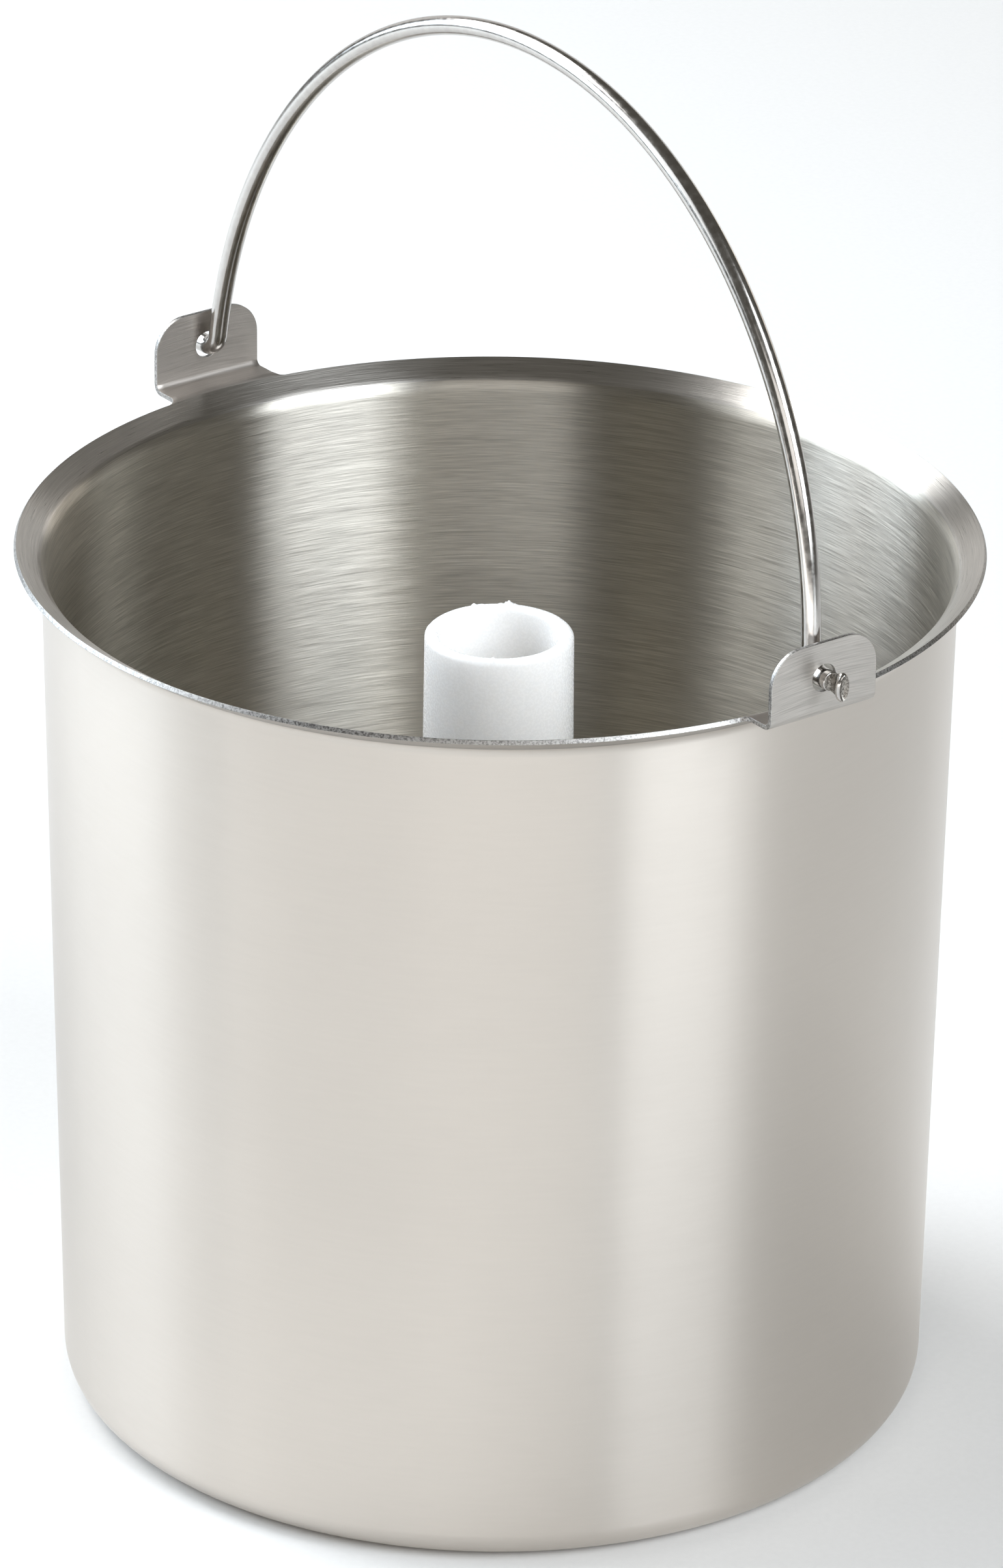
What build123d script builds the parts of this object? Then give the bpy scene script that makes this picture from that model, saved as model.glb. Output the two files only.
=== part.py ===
from build123d import *
import math
import os

os.makedirs("parts", exist_ok=True)

# A lift-out dairy pail: a drawn steel shell with two turned-up ears, a swinging wire bail and a
# plastic centre tube that lets a drive shaft pass up through the pail.
# Millimetres. +Z is up, the origin is the middle of the base, and the ears lie on the X axis.

# Shell: one drawn sheet
SHEET = 0.75
WALL_R_TOP = 70.8          # outside radius under the flare
WALL_R_BASE = 68.6         # outside radius above the base corner
BASE_CORNER_R = 5.0        # outside radius of the corner between wall and base
RIM_R = 75.0               # outermost radius of the flared rim
RIM_EDGE_Z = 141.5         # height of the rim's lower outer edge
FLARE_SLOPE = 32.0         # degrees above the horizontal
FLARE_BEND_R = 2.5         # hollow side of the bend from wall to flare

# Ears: the rim sheet runs on outwards as a tab, then turns up as a flat plate
TAB_Z = 141.7              # underside of the flat part of the tab
TAB_BEND_R = 2.0           # bend from the flare to the flat tab, middle of the sheet
EAR_BEND_R = 1.3           # bend from the tab to the plate, middle of the sheet
EAR_FACE_X = 79.4          # inside face of the plate
EAR_TOP_Z = 153.8
EAR_WIDTH = 19.6
EAR_CORNER_R = 5.5
EAR_ROOT_R = 1.6           # hollow corner between the tab's side and the rim
EAR_HOLE_R = 2.2

# Raised middle of the base, which leaves room for the nut under it
BOSS_HEIGHT = 6.0
BOSS_TOP_R = 23.0
BOSS_FOOT_R = 27.0
BOSS_BEND_R = 2.2
FLOOR_HOLE_R = 12.3

# Bail: one round wire, hinged on the line through the ear holes
HINGE_Z = 148.1
WIRE_R = 1.5
ARCH_R = 76.8
ARCH_CENTRE_Z = -3.1       # from the hinge line
END_BEND_R = 3.0
BAIL_LEAN = 4.0            # degrees from upright, towards +Y
PIN_END_X = 81.9           # where the round pin stops and the pinch starts
PINCH_X = 82.8
PINCH_SIZE = (1.5, 3.1)    # across the pin and along the bail at the narrowest place
LIP_X = 84.2
LIP_SIZE = (2.3, 4.6)      # wider than the ear hole, so it holds the pin in
TIP_X = 84.9
TIP_SIZE = (1.7, 4.0)

# Centre tube and its fixing
TUBE_TOP_Z = 126.5
TUBE_BORE_R = 9.4
TUBE_R_TOP = 11.6
TUBE_R_FOOT = 12.45
TUBE_LIP_ROUND = 0.9
TUBE_FOOT_ROUND = 2.0
FLANGE_R = 19.0
FLANGE_THICK = 2.5
FLANGE_ROUND = 0.8
GASKET_THICK = 1.5
GASKET_R = 18.4
GASKET_HOLE_R = 12.5
SPIGOT_R = 12.0
SPIGOT_END_Z = 1.0
NUT_THICK = 4.2
NUT_FLATS = 34.0
NUT_HOLE_R = 12.1
NUT_CHAMFER = 0.6

OVERLAP = 2.0              # how far a tool shape runs past the sheet it cuts or joins
NEAR = 0.01                # tolerance for picking out an edge or a corner

BOSS_FLOOR_Z = BOSS_HEIGHT + SHEET
FLANGE_Z = BOSS_FLOOR_Z + GASKET_THICK


def offset_line(points, radii, gap):
    """Corners and bend radii of the line that runs a gap to the left of the given one."""
    corners = [complex(*point) for point in points]
    ways = [(b - a) / abs(b - a) for a, b in zip(corners, corners[1:])]
    moved = [corners[0] + 1j * gap * ways[0]]
    bends = []
    for corner, before, after, radius in zip(corners[1:-1], ways, ways[1:], radii):
        turn = after / before
        moved.append(corner + 1j * gap * (before + after) / (1 + turn.real))
        bends.append(radius - math.copysign(gap, turn.imag))
    moved.append(corners[-1] + 1j * gap * ways[-1])
    return [(point.real, point.imag) for point in moved], bends


def sheet_section(points, radii):
    """Section of a bent sheet, from the line through the middle of its thickness."""
    left, left_radii = offset_line(points, radii, SHEET / 2)
    right, right_radii = offset_line(points, radii, -SHEET / 2)
    edges = FilletPolyline(*left, radius=left_radii).edges()
    edges += FilletPolyline(*right, radius=right_radii).edges()
    edges += [Edge.make_line(left[0], right[0]), Edge.make_line(left[-1], right[-1])]
    return make_face(edges)


def ring(outer, inner, low, high):
    """A flat ring about the Z axis."""
    return Pos(0, 0, low) * extrude(Circle(outer) - Circle(inner), high - low)


def pail_shell():
    """Base, wall, flared rim and both ears."""
    half = SHEET / 2
    slope = math.radians(FLARE_SLOPE)
    wall_top = WALL_R_TOP - half
    wall_base = WALL_R_BASE - half
    flare_r = RIM_R - half * math.sin(slope)
    flare_z = RIM_EDGE_Z + half * math.cos(slope)
    tab_z = TAB_Z + half
    points = [
        (FLOOR_HOLE_R, BOSS_HEIGHT + half),
        (BOSS_TOP_R, BOSS_HEIGHT + half),
        (BOSS_FOOT_R, half),
        (wall_base, half),
        (wall_top, flare_z - (flare_r - wall_top) * math.tan(slope)),
        (flare_r + (tab_z - flare_z) / math.tan(slope), tab_z),
        (EAR_FACE_X - EAR_BEND_R, tab_z),
    ]
    radii = [BOSS_BEND_R, BOSS_BEND_R, BASE_CORNER_R - half, FLARE_BEND_R + half, TAB_BEND_R]
    turned = revolve(Plane.XZ * sheet_section(points, radii), Axis.Z)

    outline = Circle(RIM_R) + Rectangle(2 * EAR_FACE_X, EAR_WIDTH)
    roots = outline.vertices().filter_by(lambda v: abs(v.X) < RIM_R)
    outline = fillet(roots, EAR_ROOT_R)
    shell = turned & extrude(outline, EAR_TOP_Z)

    plate_x = EAR_FACE_X + half
    ear_points = [(RIM_R + OVERLAP, tab_z), (plate_x, tab_z), (plate_x, EAR_TOP_Z)]
    ear = extrude(Plane.XZ * sheet_section(ear_points, [EAR_BEND_R]), EAR_WIDTH / 2, both=True)
    top_corners = ear.edges().filter_by(Axis.X).filter_by(
        lambda e: e.center().Z > EAR_TOP_Z - NEAR
    )
    ear = fillet(top_corners, EAR_CORNER_R)
    hole = Pos(0, 0, HINGE_Z) * extrude(Plane.YZ * Circle(EAR_HOLE_R), EAR_FACE_X + OVERLAP)
    ear -= hole
    return shell + ear + Rot(0, 0, 180) * ear


def bail_end():
    """Pinched wire end outside the +X ear, along +X from the end of the round pin."""
    stations = [
        (PIN_END_X, (2 * WIRE_R, 2 * WIRE_R)),
        (PINCH_X, PINCH_SIZE),
        (LIP_X, LIP_SIZE),
        (TIP_X, TIP_SIZE),
    ]
    sections = [
        Pos(x, 0, 0) * (Plane.YZ * Ellipse(across / 2, along / 2))
        for x, (across, along) in stations
    ]
    return loft(sections)


def bail_handle():
    """Wire arch with its ends turned out through the ears and pinched flat."""
    low = Vector(0, ARCH_CENTRE_Z)
    foot = math.asin((END_BEND_R - ARCH_CENTRE_Z) / (ARCH_R + END_BEND_R))
    bend_x = (ARCH_R + END_BEND_R) * math.cos(foot)
    foot_deg = math.degrees(foot)
    arch = CenterArc(low, ARCH_R, foot_deg, 90 - foot_deg)
    end_bend = CenterArc((bend_x, END_BEND_R), END_BEND_R, 180 + foot_deg, 90 - foot_deg)
    pin = Line((bend_x, 0), (PIN_END_X, 0))
    path = Plane.XZ * Wire(arch.edges() + end_bend.edges() + pin.edges())
    top = Plane(origin=(0, 0, ARCH_CENTRE_Z + ARCH_R), z_dir=(1, 0, 0))
    half = sweep(top * Circle(WIRE_R), path=path) + bail_end()
    bail = half + mirror(half, Plane.YZ)
    return Pos(0, 0, HINGE_Z) * (Rot(-BAIL_LEAN, 0, 0) * bail)


def centre_tube():
    """Open tube with a flange that clamps on the floor and a spigot for the nut."""
    profile = Polyline(
        (TUBE_BORE_R, SPIGOT_END_Z),
        (SPIGOT_R, SPIGOT_END_Z),
        (SPIGOT_R, FLANGE_Z),
        (FLANGE_R, FLANGE_Z),
        (FLANGE_R, FLANGE_Z + FLANGE_THICK),
        (TUBE_R_FOOT, FLANGE_Z + FLANGE_THICK),
        (TUBE_R_TOP, TUBE_TOP_Z),
        (TUBE_BORE_R, TUBE_TOP_Z),
        close=True,
    )
    section = make_face(profile)
    corners = section.vertices()
    section = fillet(corners.filter_by(lambda v: v.Y > TUBE_TOP_Z - NEAR), TUBE_LIP_ROUND)
    foot_z = FLANGE_Z + FLANGE_THICK
    corners = section.vertices().filter_by(lambda v: abs(v.Y - foot_z) < NEAR)
    section = fillet(corners.sort_by(Axis.X)[0], TUBE_FOOT_ROUND)
    corners = section.vertices().filter_by(lambda v: abs(v.Y - foot_z) < NEAR)
    section = fillet(corners.sort_by(Axis.X)[-1], FLANGE_ROUND)
    return revolve(Plane.XZ * section, Axis.Z)


def tube_nut():
    """Hexagonal nut under the raised middle of the base."""
    body = extrude(RegularPolygon(NUT_FLATS / 2, 6, major_radius=False), NUT_THICK)
    rims = body.edges().group_by(Axis.Z)
    body = chamfer(rims[0] + rims[-1], NUT_CHAMFER)
    body -= extrude(Circle(NUT_HOLE_R), NUT_THICK)
    return Pos(0, 0, BOSS_HEIGHT - NUT_THICK) * body


export_step(pail_shell(), "parts/pail_shell.step")
export_step(bail_handle(), "parts/bail_handle.step")
export_step(centre_tube(), "parts/centre_tube.step")
export_step(ring(GASKET_R, GASKET_HOLE_R, BOSS_FLOOR_Z, FLANGE_Z), "parts/tube_gasket.step")
export_step(tube_nut(), "parts/tube_nut.step")
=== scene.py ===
from contextlib import contextmanager
import math

import bmesh
import bpy
from mathutils import Matrix, Vector, noise


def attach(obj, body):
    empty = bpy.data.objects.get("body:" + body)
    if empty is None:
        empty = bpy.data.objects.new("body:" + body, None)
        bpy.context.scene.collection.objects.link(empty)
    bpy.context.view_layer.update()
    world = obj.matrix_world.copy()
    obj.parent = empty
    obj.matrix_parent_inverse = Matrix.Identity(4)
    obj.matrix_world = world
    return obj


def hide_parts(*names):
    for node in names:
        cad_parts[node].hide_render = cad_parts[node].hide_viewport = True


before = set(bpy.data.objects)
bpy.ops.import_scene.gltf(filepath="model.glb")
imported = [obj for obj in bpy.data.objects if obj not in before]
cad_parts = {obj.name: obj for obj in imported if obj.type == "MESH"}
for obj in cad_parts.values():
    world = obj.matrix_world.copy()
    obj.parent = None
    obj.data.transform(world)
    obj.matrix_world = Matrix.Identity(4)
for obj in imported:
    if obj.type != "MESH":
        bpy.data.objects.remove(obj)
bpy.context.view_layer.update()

# Lift-out steel pail with a wire bail and a white centre tube. Lengths in this file are in
# millimetres until to_mesh() turns them into metres. +Z is up and the ears lie on the X axis.
MM = 0.001

# Shell, along the middle of the sheet
SHEET = 0.75
RIM = (74.80, 141.82)            # radius and height of the flare's edge
FLARE_SLOPE = math.radians(32.0)
FLARE_BEND = 2.875
WALL_TOP_R = 70.425
WALL_BASE_R = 68.225
BASE_CORNER = 4.625
FLOOR_Z = 0.375
BOSS = ((12.3, 6.375), (23.0, 6.375), (27.0, 0.375))
BOSS_BEND = 2.2
RIM_LOOK_Z = 139.3               # where the rim's own looks start
TAB_Z = 142.075
TAB_BEND = 2.0
EAR_BEND = 1.3
EAR_X = 79.775
EAR_TOP = 153.8
EAR_HALF = 9.8
EAR_CORNER = 5.5
EAR_ROOT = 1.6
EAR_HOLE = 2.2
EAR_COLUMNS = 16
SIDE_COLUMNS = 128
EDGE_ROUND = 0.07                # softening of the sheet's cut edges
WALL_LOOK, RIM_LOOK, EAR_LOOK = 0, 3, 6     # first of three looks: outside, inside, cut edge

# Bail
HINGE_Z = 148.1
WIRE = 1.5
ARCH_R = 76.8
ARCH_DROP = 3.1
END_BEND = 3.0
LEAN = math.radians(4.0)

# Centre tube
TUBE_TOP = 126.5
TUBE_BORE = 9.4
TUBE_SIDES = 320
LIP_ROUND = 1.05
LIP_WEAR = 0.06                  # average drop and unevenness of the moulded lip
LIP_RIPPLE = 420                 # ripples of the lip per metre, about


# ---------------------------------------------------------------- mesh helpers

def to_mesh(name, verts, faces):
    """A mesh object from points in millimetres."""
    mesh = bpy.data.meshes.new(name)
    mesh.from_pydata([Vector(v) * MM for v in verts], [], faces)
    mesh.validate()
    mesh.update()
    piece = bpy.data.objects.new(name, mesh)
    bpy.context.scene.collection.objects.link(piece)
    return piece


@contextmanager
def editing(piece):
    """The piece's mesh opened for bmesh tools, and written back afterwards."""
    bm = bmesh.new()
    bm.from_mesh(piece.data)
    yield bm
    bm.to_mesh(piece.data)
    bm.free()


def face_outwards(piece):
    """Turns every face's front to the outside."""
    with editing(piece) as bm:
        bmesh.ops.recalc_face_normals(bm, faces=bm.faces)


def smooth(piece, angle=40.0):
    """Smooth shading, with edges sharper than the angle kept sharp."""
    mesh = piece.data
    mesh.shade_smooth()
    mesh.set_sharp_from_angle(angle=math.radians(angle))


def apply_modifiers(piece):
    """Turns the piece's modifiers into its mesh."""
    graph = bpy.context.evaluated_depsgraph_get()
    mesh = bpy.data.meshes.new_from_object(piece.evaluated_get(graph))
    piece.modifiers.clear()
    piece.data = mesh


def round_edges(piece, width):
    """Bevels the piece's sharp edges, then joins points that lie on one another."""
    bevel = piece.modifiers.new("round", "BEVEL")
    bevel.width = width * MM
    bevel.segments = 2
    bevel.limit_method = "ANGLE"
    bevel.angle_limit = math.radians(50.0)
    bevel.use_clamp_overlap = False
    apply_modifiers(piece)
    with editing(piece) as bm:
        bmesh.ops.remove_doubles(bm, verts=bm.verts, dist=0.001 * MM)


def even_normals(piece):
    """Shades large flat faces as flat, and leaves the bending to the small faces beside them."""
    even = piece.modifiers.new("even", "WEIGHTED_NORMAL")
    even.keep_sharp = True
    apply_modifiers(piece)


def arc(centre, radius, start, end, steps):
    """Points on an arc, angles in radians."""
    return [
        (
            centre[0] + radius * math.cos(start + (end - start) * i / steps),
            centre[1] + radius * math.sin(start + (end - start) * i / steps),
        )
        for i in range(steps + 1)
    ]


def rounded_line(corners, radii, steps=8):
    """Points of a flat line whose inner corners are rounded."""
    points = [Vector(corners[0])]
    for before, corner, after, radius in zip(corners, corners[1:], corners[2:], radii):
        here = Vector(corner)
        back = (Vector(before) - here).normalized()
        ahead = (Vector(after) - here).normalized()
        half = back.angle(ahead) / 2
        reach = radius / math.tan(half)
        centre = here + (back + ahead).normalized() * (radius / math.sin(half))
        start = here + back * reach - centre
        turn = start.angle_signed(here + ahead * reach - centre)
        points += [
            centre + Matrix.Rotation(-turn * i / steps, 2) @ start for i in range(steps + 1)
        ]
    points.append(Vector(corners[-1]))
    return points


def subdivided(points, longest):
    """The same line with extra points, so that no step is longer than given."""
    line = [points[0]]
    for a, b in zip(points, points[1:]):
        count = max(1, math.ceil((b - a).length / longest))
        line += [a.lerp(b, i / count) for i in range(1, count + 1)]
    return line


def lathe(name, profile, segments):
    """A closed solid of revolution from a closed profile of radius and height."""
    verts = []
    for i in range(segments):
        turn = 2 * math.pi * i / segments
        verts += [(r * math.cos(turn), r * math.sin(turn), z) for r, z in profile]
    rows = len(profile)
    faces = []
    for i in range(segments):
        a, b = i * rows, (i + 1) % segments * rows
        for j in range(rows):
            k = (j + 1) % rows
            faces.append((a + j, b + j, b + k, a + k))
    return to_mesh(name, verts, faces)


# ---------------------------------------------------------------- shell

def shell_profile():
    """The turned part of the shell, from the floor hole to the edge of the flare."""
    rim_r, rim_z = RIM
    flare_foot = (WALL_TOP_R, rim_z - (rim_r - WALL_TOP_R) * math.tan(FLARE_SLOPE))
    corners = [*BOSS, (WALL_BASE_R, FLOOR_Z), flare_foot, RIM]
    radii = [BOSS_BEND, BOSS_BEND, BASE_CORNER, FLARE_BEND]
    return subdivided(rounded_line(corners, radii, 10), 6.0)


def tab_height(r):
    """Height of the middle of the sheet beyond the rim: up the flare, over a bend, then level."""
    rim_r, rim_z = RIM
    corner_r = rim_r + (TAB_Z - rim_z) / math.tan(FLARE_SLOPE)
    reach = TAB_BEND * math.tan(FLARE_SLOPE / 2)
    level_r = corner_r + reach
    slope_r = corner_r - reach * math.cos(FLARE_SLOPE)
    if r <= slope_r:
        return rim_z + (r - rim_r) * math.tan(FLARE_SLOPE)
    if r >= level_r:
        return TAB_Z
    return TAB_Z - TAB_BEND + math.sqrt(TAB_BEND**2 - (level_r - r) ** 2)


def ear_rows():
    """Rows of points across the +X ear, from the rim out along the tab and up the plate."""
    rim_r = RIM[0]
    across = [2 * i / EAR_COLUMNS - 1 for i in range(EAR_COLUMNS + 1)]
    root_y = EAR_HALF + EAR_ROOT
    root_x = math.sqrt((rim_r + EAR_ROOT) ** 2 - root_y**2)
    start = math.pi + math.atan2(root_y, root_x)
    rows = []
    for x, y in arc((root_x, root_y), EAR_ROOT, start, 1.5 * math.pi, 8):
        r = math.hypot(x, y)
        rows.append([(math.sqrt(r * r - (t * y) ** 2), t * y, tab_height(r)) for t in across])
    bend_x = EAR_X - EAR_BEND
    rows.append([(bend_x - 0.6, t * EAR_HALF, TAB_Z) for t in across])
    for x, z in arc((bend_x, TAB_Z + EAR_BEND), EAR_BEND, -math.pi / 2, 0, 7):
        rows.append([(x, t * EAR_HALF, z) for t in across])
    foot, shoulder = TAB_Z + EAR_BEND, EAR_TOP - EAR_CORNER
    for i in range(1, 5):
        z = foot + (shoulder - foot) * i / 4
        rows.append([(EAR_X, t * EAR_HALF, z) for t in across])
    for y, z in arc((EAR_HALF - EAR_CORNER, shoulder), EAR_CORNER, 0, math.pi / 2, 12)[1:]:
        rows.append([(EAR_X, t * y, z) for t in across])
    return rows


def pail_shell():
    """One sheet: floor, wall, flare and both ears, given its thickness at the end."""
    profile = shell_profile()
    rows = ear_rows()
    ear_turns = [math.atan2(y, x) for x, y, z in rows[0]]
    edge = ear_turns[-1]
    side = [edge + (math.pi - 2 * edge) * i / SIDE_COLUMNS for i in range(1, SIDE_COLUMNS)]
    turns = ear_turns + side
    turns += [turn + math.pi for turn in turns]
    count, height = len(turns), len(profile)
    verts = [(r * math.cos(t), r * math.sin(t), z) for t in turns for r, z in profile]
    rim_row = next(j for j, point in enumerate(profile) if point.y > RIM_LOOK_Z)
    faces, looks = [], []
    for i in range(count):
        a, b = i * height, (i + 1) % count * height
        faces += [(a + j, b + j, b + j + 1, a + j + 1) for j in range(height - 1)]
        looks += [WALL_LOOK if j < rim_row else RIM_LOOK for j in range(height - 1)]
    for first, flip in ((0, 1), (count // 2, -1)):
        below = [(first + i) * height + height - 1 for i in range(EAR_COLUMNS + 1)]
        for row in rows[1:]:
            above = list(range(len(verts), len(verts) + EAR_COLUMNS + 1))
            verts += [(flip * x, flip * y, z) for x, y, z in row]
            for i in range(EAR_COLUMNS):
                faces.append((below[i], below[i + 1], above[i + 1], above[i]))
                looks.append(EAR_LOOK)
            below = above
    piece = to_mesh("pail_shell_visual", verts, faces)
    for look in SHELL_LOOKS:
        piece.data.materials.append(look)
    for face, look in zip(piece.data.polygons, looks):
        face.material_index = look
    thick = piece.modifiers.new("sheet", "SOLIDIFY")
    thick.thickness = SHEET * MM
    thick.offset = 0.0
    thick.use_even_offset = True
    thick.material_offset = 1
    thick.material_offset_rim = 2
    apply_modifiers(piece)
    share_looks(piece, SHELL_LOOKS)
    join_plates(piece)
    drill_ears(piece)
    round_edges(piece, EDGE_ROUND)
    smooth(piece)
    even_normals(piece)
    return piece


def share_looks(piece, looks):
    """Gives the piece each look once, however often it stands in the list of its slots."""
    kept = []
    for look in looks:
        if look not in kept:
            kept.append(look)
    indices = [kept.index(looks[face.material_index]) for face in piece.data.polygons]
    piece.data.materials.clear()
    for look in kept:
        piece.data.materials.append(look)
    for face, index in zip(piece.data.polygons, indices):
        face.material_index = index


def join_plates(piece):
    """Makes each side of an ear's flat plate one face, so that no line crosses the hole's edge."""
    flat, near_x = 0.9999, (EAR_X - SHEET) * MM
    with editing(piece) as bm:
        plates = [
            face for face in bm.faces
            if abs(face.normal.x) > flat and abs(face.calc_center_median().x) > near_x
        ]
        bmesh.ops.dissolve_faces(bm, faces=plates, use_verts=False)


def drill_ears(piece):
    """Cuts the hinge holes."""
    inner, outer = EAR_X - 3, EAR_X + 3
    verts, faces = [], []
    sides = 48
    for x in (-outer, -inner, inner, outer):
        for i in range(sides):
            turn = 2 * math.pi * i / sides
            verts.append((x, EAR_HOLE * math.cos(turn), HINGE_Z + EAR_HOLE * math.sin(turn)))
    for a in (0, 2 * sides):
        for i in range(sides):
            j = (i + 1) % sides
            faces.append((a + i, a + j, a + sides + j, a + sides + i))
        faces.append(tuple(reversed(range(a, a + sides))))
        faces.append(tuple(range(a + sides, a + 2 * sides)))
    drill = to_mesh("drill", verts, faces)
    face_outwards(drill)
    drill.data.materials.append(CUT_STEEL)
    cut = piece.modifiers.new("holes", "BOOLEAN")
    cut.operation = "DIFFERENCE"
    cut.solver = "EXACT"
    cut.material_mode = "TRANSFER"
    cut.object = drill
    apply_modifiers(piece)
    bpy.data.objects.remove(drill)


# ---------------------------------------------------------------- bail

# Distance out along the pin, half width across the bail's plane, half width in it
WIRE_END = [
    (80.6, 1.5, 1.5),
    (81.74, 1.5, 1.5),
    (81.86, 1.45, 1.46),
    (81.90, 1.36, 1.42),
    (81.93, 0.86, 1.40),
    (82.15, 0.62, 1.44),
    (82.60, 0.52, 1.55),
    (83.10, 0.50, 1.74),
    (83.50, 0.60, 1.95),
    (83.80, 0.86, 2.12),
    (84.02, 1.08, 2.22),
    (84.30, 1.15, 2.26),
    (84.58, 1.10, 2.22),
    (84.80, 0.98, 2.12),
    (84.88, 0.88, 2.02),
    (84.82, 0.76, 1.88),
    (84.55, 0.56, 1.60),
    (84.40, 0.30, 1.20),
]
ROUGH_STEPS = (0, 1, 2, 8, 9, 10, 11, 12, 13)     # steps from the tip left rough by the tool


def wire_half():
    """Stations of the wire from the top of the arch to the +X tip, as (point, way, size).

    Points and ways are in the bail's own plane, x across and z up from the hinge line.
    Sizes are the half widths across the bail's plane and in it."""
    foot = math.asin((END_BEND + ARCH_DROP) / (ARCH_R + END_BEND))
    bend_x = (ARCH_R + END_BEND) * math.cos(foot)
    stations = []
    arch_steps, bend_steps = 110, 12
    for i in range(arch_steps + 1):
        turn = math.pi / 2 + (foot - math.pi / 2) * i / arch_steps
        point = (ARCH_R * math.cos(turn), ARCH_R * math.sin(turn) - ARCH_DROP)
        stations.append((point, (math.sin(turn), -math.cos(turn)), (WIRE, WIRE)))
    for i in range(1, bend_steps + 1):
        turn = math.pi + foot + (math.pi / 2 - foot) * i / bend_steps
        point = (bend_x + END_BEND * math.cos(turn), END_BEND + END_BEND * math.sin(turn))
        stations.append((point, (-math.sin(turn), math.cos(turn)), (WIRE, WIRE)))
    for x, across, along in WIRE_END:
        stations.append(((x, 0.0), (1.0, 0.0), (across, along)))
    return stations


def bail_handle():
    """The wire, swept from tip to tip, leaning as it stands in the ears."""
    half = wire_half()
    mirrored = [((-p[0], p[1]), (w[0], -w[1]), s) for p, w, s in reversed(half[1:])]
    stations = mirrored + half
    sides = 32
    lean = Matrix.Rotation(-LEAN, 4, "X")
    verts, faces = [], []
    for (x, z), (wx, wz), (across, along) in stations:
        for i in range(sides):
            turn = 2 * math.pi * i / sides
            y = across * math.sin(turn)
            up = along * math.cos(turn)
            point = lean @ Vector((x - wz * up, y, z + wx * up))
            verts.append((point.x, point.y, point.z + HINGE_Z))
    looks = []
    for a in range(len(stations) - 1):
        rough = min(a, len(stations) - 2 - a) in ROUGH_STEPS
        for i in range(sides):
            j = (i + 1) % sides
            faces.append((a * sides + i, a * sides + j, (a + 1) * sides + j, (a + 1) * sides + i))
            looks.append(int(rough))
    last = (len(stations) - 1) * sides
    faces.append(tuple(range(sides)))
    faces.append(tuple(reversed(range(last, last + sides))))
    looks += [1, 1]
    piece = to_mesh("bail_handle_visual", verts, faces)
    piece.data.materials.append(BRIGHT_WIRE)
    piece.data.materials.append(PINCHED_STEEL)
    for face, look in zip(piece.data.polygons, looks):
        face.material_index = look
    face_outwards(piece)
    smooth(piece, 50)
    return piece


# ---------------------------------------------------------------- centre tube

# Flash left on the tube's lip: place round the tube in degrees, half width in degrees, height
FLASH = [
    (136, 4.0, 0.75), (131, 2.0, 0.35), (142, 2.5, 0.28), (165, 2.2, 0.45), (160, 4.0, 0.20),
    (222, 3.0, 0.35), (229, 4.0, 0.45), (236, 2.5, 0.50), (318, 1.2, 0.40), (40, 2.5, 0.18),
]


def lift_lip(vertex):
    """Makes the tube's lip slightly uneven, with bits of flash standing up from it."""
    z = vertex.co.z / MM
    if z < TUBE_TOP - LIP_ROUND:
        return
    share = (z - TUBE_TOP + LIP_ROUND) / LIP_ROUND
    turn = math.degrees(math.atan2(vertex.co.y, vertex.co.x)) % 360
    ripple = noise.noise(Vector((vertex.co.x, vertex.co.y, 0)) * LIP_RIPPLE)
    lift = -LIP_WEAR - LIP_WEAR * ripple
    for place, width, height in FLASH:
        gap = abs((turn - place + 180) % 360 - 180) / width
        rough = 0.75 + 0.5 * noise.noise(Vector((turn, height * 50, 3)) * 0.9)
        lift += height * rough * max(0.0, 1 - gap * gap)
    vertex.co.z += lift * share * MM


def centre_tube():
    """White moulded tube: rounded lip, flange on the floor, spigot through it."""
    outer_top, outer_foot = 11.6, 12.45
    flange_low, flange_high, flange_r = 8.25, 10.75, 19.0
    spigot_r, spigot_low = 12.0, 1.0
    middle = 60.0                # the profile starts and ends half way up the bore
    corners = [
        (TUBE_BORE, middle),
        (TUBE_BORE, spigot_low),
        (spigot_r, spigot_low),
        (spigot_r, flange_low),
        (flange_r, flange_low),
        (flange_r, flange_high),
        (outer_foot, flange_high),
        (outer_top, TUBE_TOP),
        (TUBE_BORE, TUBE_TOP),
        (TUBE_BORE, middle),
    ]
    radii = [0.3, 0.3, 0.2, 0.4, 0.8, 2.0, LIP_ROUND, LIP_ROUND]
    profile = subdivided(rounded_line(corners, radii, 6), 5.0)[:-1]
    piece = lathe("centre_tube_visual", [tuple(p) for p in profile], TUBE_SIDES)
    for vertex in piece.data.vertices:
        lift_lip(vertex)
    face_outwards(piece)
    piece.data.materials.append(MILKY_PLASTIC)
    smooth(piece)
    return piece


# ---------------------------------------------------------------- materials

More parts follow.
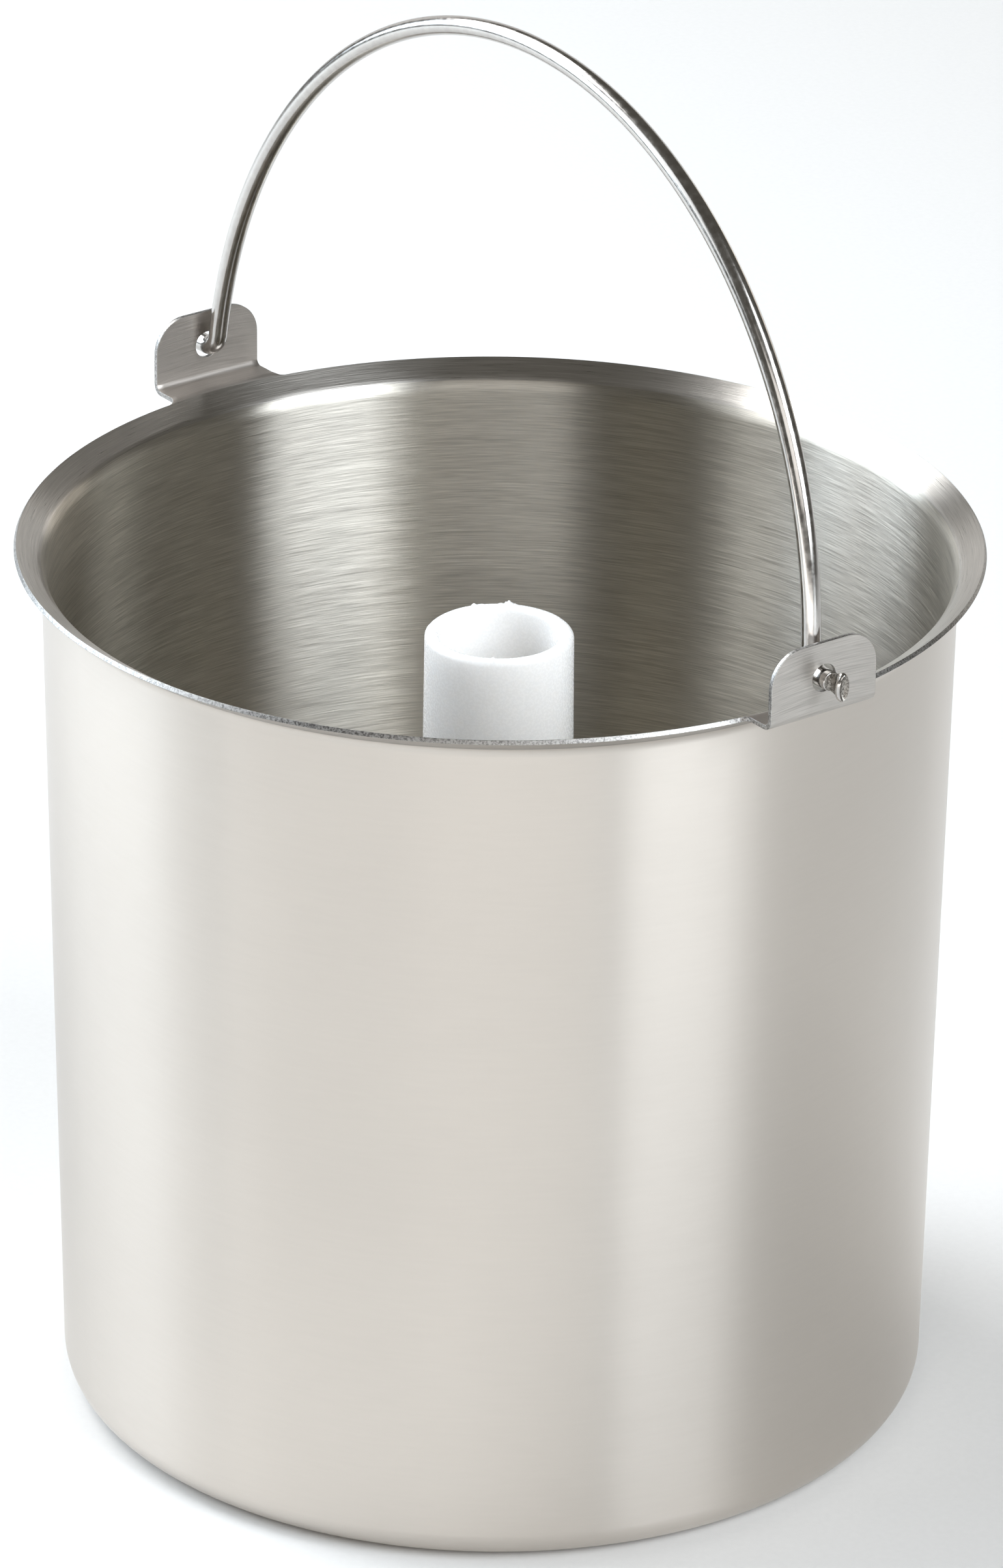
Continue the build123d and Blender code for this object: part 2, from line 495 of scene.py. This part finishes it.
class Nodes:
    """A short way to write a material's nodes."""

    def __init__(self, name):
        self.material = bpy.data.materials.new(name)
        self.material.use_nodes = True
        self.tree = self.material.node_tree
        self.shader = self.tree.nodes["Principled BSDF"]

    def add(self, kind, **inputs):
        """A node with its inputs set from numbers or other nodes' outputs."""
        node = self.tree.nodes.new("ShaderNode" + kind)
        for key, value in inputs.items():
            if key in ("operation", "direction_type", "axis"):
                setattr(node, key, value)
                continue
            slot = int(key[1:]) if key[0] == "i" and key[1:].isdigit() else key.replace("_", " ")
            self.link(value, node.inputs[slot])
        return node

    def link(self, value, socket):
        """Joins an output to a socket, or sets the socket to a number."""
        if hasattr(value, "is_output"):
            self.tree.links.new(value, socket)
        else:
            socket.default_value = value

    def math(self, operation, a, b=0.0, c=0.0):
        return self.add("Math", operation=operation, i0=a, i1=b, i2=c).outputs[0]

    def times(self, a, b):
        return self.math("MULTIPLY", a, b)

    def plus(self, a, b):
        return self.math("ADD", a, b)

    def noise(self, vector, scale, detail=2.0, rough=0.5):
        node = self.add("TexNoise", Vector=vector, Scale=scale, Detail=detail, Roughness=rough)
        return node.outputs["Fac"]

    def vector(self, x, y, z):
        return self.add("CombineXYZ", X=x, Y=y, Z=z).outputs[0]

    def ramp(self, value, *stops):
        node = self.add("ValToRGB", Fac=value)
        ends = node.color_ramp.elements
        while len(ends) < len(stops):
            ends.new(0.5)
        for end, (place, colour) in zip(ends, stops):
            end.position = place
            end.color = (*colour, 1.0)
        return node.outputs["Color"]

    def range(self, value, low, high, to_low, to_high):
        ends = {"From_Min": low, "From_Max": high, "To_Min": to_low, "To_Max": to_high}
        return self.add("MapRange", Value=value, **ends).outputs[0]

    def finish(self, **sockets):
        for key, value in sockets.items():
            self.link(value, self.shader.inputs[key.replace("_", " ")])
        return self.material


def around_axis(nodes):
    """Coordinates for brush lines that run round the Z axis.

    Returns the way from the axis as two numbers, the distance across the lines in millimetres,
    and the place itself."""
    place = nodes.add("TexCoord").outputs["Object"]
    split = nodes.add("SeparateXYZ", Vector=place).outputs
    x, y, z = (nodes.times(split[i], 1000.0) for i in range(3))
    radius = nodes.math("SQRT", nodes.plus(nodes.times(x, x), nodes.times(y, y)))
    along_x = nodes.math("DIVIDE", x, nodes.math("MAXIMUM", radius, 1.0))
    along_y = nodes.math("DIVIDE", y, nodes.math("MAXIMUM", radius, 1.0))
    return along_x, along_y, nodes.plus(z, radius), place


def brushed(name, colour, rough, vary, lines, bump, aniso, streak):
    """Steel brushed round the pail's axis.

    Vary is the spread of its roughness, lines the brush lines in a millimetre, about, and streak
    the spread of its tone."""
    nodes = Nodes(name)
    along_x, along_y, across, place = around_axis(nodes)

    def marks(along, closeness, rough_edge):
        """Marks that are long round the axis and narrow across it."""
        stretched = nodes.vector(
            nodes.times(along_x, along),
            nodes.times(along_y, along),
            nodes.times(across, closeness),
        )
        return nodes.noise(stretched, 1.0, 2.0, rough_edge)

    fine = marks(9.0, lines, 0.6)
    wide = marks(2.0, lines * 0.12, 0.5)
    mixed = nodes.plus(nodes.times(fine, 0.85), nodes.times(wide, 0.15))
    cloud = nodes.noise(place, 26.0, 3.0, 0.55)
    tone = nodes.math("MULTIPLY_ADD", nodes.range(mixed, 0.3, 0.7, -1.0, 1.0), streak, 1.0)
    tone = nodes.times(tone, nodes.range(cloud, 0.3, 0.7, 0.985, 1.015))
    base = nodes.add("Mix", Factor=1.0)
    base.data_type = "RGBA"
    base.blend_type = "MULTIPLY"
    base.inputs["A"].default_value = (*colour, 1.0)
    grey = nodes.add("CombineColor", Red=tone, Green=tone, Blue=tone).outputs[0]
    nodes.link(grey, base.inputs["B"])
    roughness = nodes.range(mixed, 0.3, 0.7, rough - vary, rough + vary)
    height = nodes.add("Bump", Strength=bump, Distance=0.0001, Height=mixed).outputs[0]
    tangent = nodes.add("Tangent", direction_type="RADIAL", axis="Z").outputs[0]
    return nodes.finish(
        Base_Color=base.outputs["Result"], Metallic=1.0, Roughness=roughness, Normal=height,
        Anisotropic=aniso, Anisotropic_Rotation=0.25, Tangent=tangent,
    )


def cut_steel(name, dark, light):
    """Speckled, slightly dull steel, left by a cutting tool."""
    nodes = Nodes(name)
    place = nodes.add("TexCoord").outputs["Object"]
    speck = nodes.noise(place, 3200.0, 2.0, 0.6)
    colour = nodes.ramp(speck, (0.35, dark), (0.6, light))
    height = nodes.add("Bump", Strength=0.35, Distance=0.00005, Height=speck).outputs[0]
    rough = nodes.range(speck, 0.3, 0.7, 0.3, 0.5)
    return nodes.finish(Base_Color=colour, Metallic=1.0, Roughness=rough, Normal=height)


def bright_wire():
    """Polished wire with fine drawing marks."""
    nodes = Nodes("bright_wire")
    place = nodes.add("TexCoord").outputs["Object"]
    marks = nodes.noise(place, 900.0, 3.0, 0.6)
    rough = nodes.range(marks, 0.35, 0.7, 0.15, 0.25)
    height = nodes.add("Bump", Strength=0.06, Distance=0.00005, Height=marks).outputs[0]
    colour = nodes.ramp(marks, (0.3, (0.45, 0.43, 0.41)), (0.7, (0.53, 0.51, 0.485)))
    return nodes.finish(Base_Color=colour, Metallic=1.0, Roughness=rough, Normal=height)


def moulded(name, dark, light, rough, scatter, grain_size=2500.0):
    """Pale moulded plastic or rubber that lets a little light through."""
    nodes = Nodes(name)
    place = nodes.add("TexCoord").outputs["Object"]
    cloud = nodes.noise(place, 60.0, 3.0, 0.5)
    grain = nodes.noise(place, grain_size, 2.0, 0.6)
    colour = nodes.ramp(cloud, (0.3, dark), (0.7, light))
    height = nodes.add("Bump", Strength=0.08, Distance=0.00005, Height=grain).outputs[0]
    finish = nodes.range(grain, 0.3, 0.7, rough * 0.82, rough * 1.18)
    return nodes.finish(
        Base_Color=colour, Roughness=finish, Normal=height, IOR=1.5,
        Subsurface_Weight=scatter, Subsurface_Radius=(1.0, 0.95, 0.9), Subsurface_Scale=0.006,
    )


def floor_paper():
    """Matt pale paper."""
    nodes = Nodes("floor_paper")
    place = nodes.add("TexCoord").outputs["Object"]
    grain = nodes.noise(place, 800.0, 3.0, 0.6)
    colour = nodes.ramp(grain, (0.3, (0.74, 0.735, 0.725)), (0.7, (0.76, 0.755, 0.745)))
    return nodes.finish(Base_Color=colour, Roughness=0.9)


SATIN_STEEL = brushed(
    "satin_steel", (0.605, 0.561, 0.512),
    rough=0.28, vary=0.006, lines=1.6, bump=0.03, aniso=0.95, streak=0.01,
)
BRUSHED_STEEL = brushed(
    "brushed_steel", (0.585, 0.556, 0.502),
    rough=0.33, vary=0.035, lines=5.5, bump=0.30, aniso=1.0, streak=0.23,
)
RIM_STEEL = brushed(
    "rim_steel", (0.51, 0.487, 0.456),
    rough=0.30, vary=0.03, lines=4.0, bump=0.40, aniso=0.85, streak=0.15,
)
# Darker steel on the flare's outside: painted shade under the rim's edge.
UNDER_RIM_PAINTED_SHADE = brushed(
    "painted_shade_under_rim_steel", (0.40, 0.38, 0.355),
    rough=0.30, vary=0.02, lines=2.0, bump=0.05, aniso=0.85, streak=0.05,
)
# The ears' steel, outside and inside, is darker than the wall's: painted shade standing for the
# ears' darker reflections, a little less on the inside.
EAR_STEEL_PAINTED_SHADE = brushed(
    "painted_shade_ear_steel", (0.47, 0.445, 0.415),
    rough=0.40, vary=0.03, lines=5.0, bump=0.45, aniso=0.70, streak=0.20,
)
INNER_EAR_PAINTED_SHADE = brushed(
    "inner_ear_painted_shade_steel", (0.49, 0.455, 0.422),
    rough=0.44, vary=0.03, lines=4.0, bump=0.30, aniso=0.60, streak=0.10,
)
CUT_STEEL = cut_steel("cut_steel", (0.17, 0.165, 0.16), (0.42, 0.41, 0.395))
PINCHED_STEEL = cut_steel("pinched_steel", (0.10, 0.09, 0.08), (0.34, 0.32, 0.29))
SHELL_LOOKS = [                  # outside, inside and cut edge of the wall, the rim and the ears
    SATIN_STEEL, BRUSHED_STEEL, CUT_STEEL,
    UNDER_RIM_PAINTED_SHADE, RIM_STEEL, CUT_STEEL,
    EAR_STEEL_PAINTED_SHADE, INNER_EAR_PAINTED_SHADE, CUT_STEEL,
]
BRIGHT_WIRE = bright_wire()
MILKY_PLASTIC = moulded("milky_plastic", (0.95, 0.935, 0.91), (0.975, 0.96, 0.935), 0.27, 0.8)
NUT_PLASTIC = moulded("nut_plastic", (0.74, 0.74, 0.71), (0.80, 0.80, 0.77), 0.46, 0.15, 1400.0)
PALE_RUBBER = moulded("pale_rubber", (0.62, 0.62, 0.58), (0.70, 0.70, 0.66), 0.62, 0.25, 1800.0)


# ---------------------------------------------------------------- assembly

def place_piece(piece, body, node):
    """Puts a visual piece on its body in place of a CAD node."""
    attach(piece, body)
    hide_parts(node)


place_piece(pail_shell(), "pail", "pail_shell")
place_piece(bail_handle(), "bail", "bail_handle")
place_piece(centre_tube(), "pail", "centre_tube")
for kept, look in (("tube_gasket", PALE_RUBBER), ("tube_nut", NUT_PLASTIC)):
    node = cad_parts[kept]
    node.data.materials.clear()
    node.data.materials.append(look)


# ---------------------------------------------------------------- floor, light and camera

CAMERA_TURN = math.radians(-36.7)     # round the pail from +X
CAMERA_RISE = math.radians(24.94)
CAMERA_ROLL = math.radians(0.64)
CAMERA_DISTANCE = 1.3356
CAMERA_AIM = Vector((0.00036, 0.00048, 0.1004))
CAMERA_LENS = 196.3                   # for 36 mm along the frame's height
LIGHT_AIM = Vector((0, 0, 0.09))
LIGHT_DISTANCE = 1.2


def floor():
    """The plain floor, just under the pail."""
    bpy.ops.mesh.primitive_circle_add(vertices=96, radius=6.0, fill_type="NGON")
    piece = bpy.context.object
    piece.name = "floor"
    piece.location.z = -0.0002
    piece.data.materials.append(floor_paper())


def direction(turn, rise):
    """The unit vector that points round from +X by the turn and up by the rise."""
    level = math.cos(rise)
    return Vector((math.cos(turn) * level, math.sin(turn) * level, math.sin(rise)))


def softbox(name, turn, rise, size, glow, tint=(1.0, 1.0, 1.0), distance=LIGHT_DISTANCE):
    """An area light. Turn is in degrees round the pail, anticlockwise from the camera seen from
    above. Glow is its brightness, whatever its size."""
    light = bpy.data.lights.new(name, "AREA")
    light.shape = "RECTANGLE"
    light.size, light.size_y = size
    light.energy = math.pi * size[0] * size[1] * glow
    light.color = tint
    lamp = bpy.data.objects.new(name, light)
    way = direction(CAMERA_TURN + math.radians(turn), math.radians(rise))
    lamp.location = LIGHT_AIM + way * distance
    lamp.rotation_euler = (LIGHT_AIM - lamp.location).to_track_quat("-Z", "Y").to_euler()
    bpy.context.scene.collection.objects.link(lamp)


def studio():
    """A dim warm surround and the softboxes."""
    world = bpy.data.worlds.new("studio")
    bpy.context.scene.world = world
    world.use_nodes = True
    back = world.node_tree.nodes["Background"]
    back.inputs["Color"].default_value = (1.0, 0.95, 0.84, 1.0)
    back.inputs["Strength"].default_value = 0.12
    softbox("key_left", -128, 46, (0.75, 0.66), 7.6, (0.97, 0.985, 1.0))
    softbox("strip_right", 48, 30, (0.67, 0.78), 7.7, (0.89, 0.945, 1.0))
    softbox("strip_high", 54, 54, (0.46, 0.20), 4.5, (0.91, 0.955, 1.0))
    softbox("strip_low", 43, -1.5, (0.56, 0.12), 2.3, (0.88, 0.94, 1.0))
    softbox("left_wall", -108, 22, (0.95, 0.70), 6.0, (0.78, 0.89, 1.0))
    softbox("front_left", -76, 32, (0.46, 0.70), 2.0, (0.90, 0.95, 1.0))
    softbox("skirt", -21, -1.5, (2.46, 0.12), 4.6, (1.0, 0.985, 0.97))
    softbox("front", 0, 30, (0.74, 0.50), 1.7, (1.0, 0.985, 0.97))
    softbox("back_right", 140, 8, (0.54, 0.32), 1.4, (1.0, 0.94, 0.86))
    softbox("backdrop", 180, 12, (1.56, 0.60), 0.72, distance=1.3)


def camera():
    """A long lens, looking down at the pail from the side of an ear."""
    data = bpy.data.cameras.new("camera")
    data.sensor_fit = "VERTICAL"
    data.sensor_height = 36.0
    data.lens = CAMERA_LENS
    data.clip_start = 0.01
    data.clip_end = 20.0
    cam = bpy.data.objects.new("camera", data)
    cam.location = CAMERA_AIM + direction(CAMERA_TURN, CAMERA_RISE) * CAMERA_DISTANCE
    look = (CAMERA_AIM - cam.location).to_track_quat("-Z", "Y").to_matrix().to_4x4()
    roll = Matrix.Rotation(CAMERA_ROLL, 4, "Z")
    cam.matrix_world = Matrix.Translation(cam.location) @ look @ roll
    bpy.context.scene.collection.objects.link(cam)
    bpy.context.scene.camera = cam


floor()
studio()
camera()
bpy.context.scene.view_settings.view_transform = "Standard"
